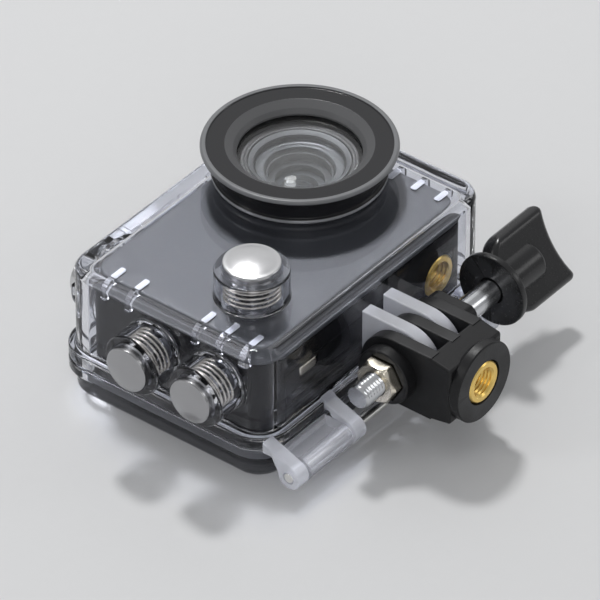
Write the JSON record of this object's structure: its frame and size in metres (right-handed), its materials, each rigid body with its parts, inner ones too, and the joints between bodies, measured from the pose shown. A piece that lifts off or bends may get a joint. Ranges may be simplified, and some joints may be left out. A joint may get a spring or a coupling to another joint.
{
  "type": "action camera",
  "caption": "Compact action camera in a clear waterproof housing with a round lens port, sprung push buttons, a hinged latching rear door and a pivoting pronged mount with a thumb screw.",
  "frame": {"origin": "middle of the rear door's outer face", "axes": "+Z out of the lens, +Y to the camera's top, +X to the right of its face; it lies on its back"},
  "size_m": [0.0849, 0.0833, 0.0373],
  "materials": {
    "clear_polycarbonate": "clear, polished",
    "pale_silicone": "matte",
    "steel": "bright nickel plate",
    "spring_steel": "drawn wire",
    "gloss_black": "gloss",
    "port_glass": "coated",
    "rubber": "matte",
    "chrome": "polished",
    "key_plastic": "satin",
    "face_grey": "satin",
    "satin_black": "satin",
    "screen_glass": "gloss",
    "sensor": "gloss",
    "board": "solder mask",
    "battery_wrap": "satin",
    "brass": "machined"
  },
  "bodies": {
    "housing": {"housing_shell": "clear_polycarbonate", "hinge_pin": "steel", "latch_pin": "steel", "port_drum": "gloss_black", "port_window": "port_glass", "port_seal": "rubber", "port_bezel": "gloss_black", "front_spring": "spring_steel", "front_seal": "rubber", "top_spring": "spring_steel", "top_seal": "rubber", "upper_spring": "spring_steel", "upper_seal": "rubber", "lower_spring": "spring_steel", "lower_seal": "rubber", "camera_frame": "satin_black", "camera_face": "face_grey", "camera_back": "satin_black", "display": "screen_glass", "lens_barrel": "gloss_black", "lens_front_glass": "port_glass", "lens_cell": "gloss_black", "image_sensor": "sensor", "main_board": "board", "key_board": "board", "battery": "battery_wrap", "battery_door": "satin_black", "door_catch": "steel", "tripod_nut": "brass", "connector_block": "steel", "memory_card": "satin_black"},
    "back_door": {"rear_door": "clear_polycarbonate", "door_gasket": "pale_silicone"},
    "latch": {"latch_lever": "clear_polycarbonate"},
    "front_button": {"front_plunger": "chrome", "front_clip": "steel"},
    "top_button": {"top_plunger": "chrome", "top_clip": "steel"},
    "upper_button": {"upper_plunger": "chrome", "upper_clip": "steel"},
    "lower_button": {"lower_plunger": "chrome", "lower_clip": "steel"},
    "front_camera_key": {"front_key": "key_plastic"},
    "top_camera_key": {"top_key": "key_plastic"},
    "upper_camera_key": {"upper_key": "key_plastic"},
    "lower_camera_key": {"lower_key": "key_plastic"},
    "mount": {"mount_adapter": "satin_black", "adapter_insert": "brass", "adapter_nut": "steel"},
    "thumb_screw": {"thumb_knob": "satin_black", "screw_shaft": "steel"}
  },
  "joints": [
    {"name": "door_hinge", "type": "hinge", "parent": "back_door", "child": "housing", "pos_m": [0, -0.03, 0.0052], "axis": [1, 0, 0], "range_deg": [0, 100]},
    {"name": "latch_hinge", "type": "hinge", "parent": "housing", "child": "latch", "pos_m": [0, 0.0287, 0.0175], "axis": [1, 0, 0], "range_deg": [-8.5, 70]},
    {"name": "front_press", "type": "slide", "parent": "housing", "child": "front_button", "axis": [0, 0, -1], "range_m": [0, 0.0007], "stiffness_N_per_m": 1200, "springref_m": -0.001, "deforming": ["front_spring"]},
    {"name": "top_press", "type": "slide", "parent": "housing", "child": "top_button", "axis": [0, -1, 0], "range_m": [0, 0.0007], "stiffness_N_per_m": 1200, "springref_m": -0.001, "deforming": ["top_spring"]},
    {"name": "upper_press", "type": "slide", "parent": "housing", "child": "upper_button", "axis": [1, 0, 0], "range_m": [0, 0.0007], "stiffness_N_per_m": 1200, "springref_m": -0.001, "deforming": ["upper_spring"]},
    {"name": "lower_press", "type": "slide", "parent": "housing", "child": "lower_button", "axis": [1, 0, 0], "range_m": [0, 0.0007], "stiffness_N_per_m": 1200, "springref_m": -0.001, "deforming": ["lower_spring"]},
    {"name": "front_key_press", "type": "slide", "parent": "housing", "child": "front_camera_key", "axis": [0, 0, -1], "range_m": [0, 0.0007]},
    {"name": "top_key_press", "type": "slide", "parent": "housing", "child": "top_camera_key", "axis": [0, -1, 0], "range_m": [0, 0.0007]},
    {"name": "upper_key_press", "type": "slide", "parent": "housing", "child": "upper_camera_key", "axis": [1, 0, 0], "range_m": [0, 0.0007]},
    {"name": "lower_key_press", "type": "slide", "parent": "housing", "child": "lower_camera_key", "axis": [1, 0, 0], "range_m": [0, 0.0007]},
    {"name": "mount_pivot", "type": "hinge", "parent": "housing", "child": "mount", "pos_m": [0, -0.0332, 0.0155], "axis": [-1, 0, 0], "range_deg": [-35, 90]},
    {"name": "thumb_turn", "type": "hinge", "parent": "mount", "child": "thumb_screw", "pos_m": [0, -0.0332, 0.0155], "axis": [1, 0, 0], "continuous": true}
  ],
  "couplings": [
    {"joint": "front_key_press", "follows": "front_press", "ratio": 1},
    {"joint": "top_key_press", "follows": "top_press", "ratio": 1},
    {"joint": "upper_key_press", "follows": "upper_press", "ratio": 1},
    {"joint": "lower_key_press", "follows": "lower_press", "ratio": 1}
  ]
}
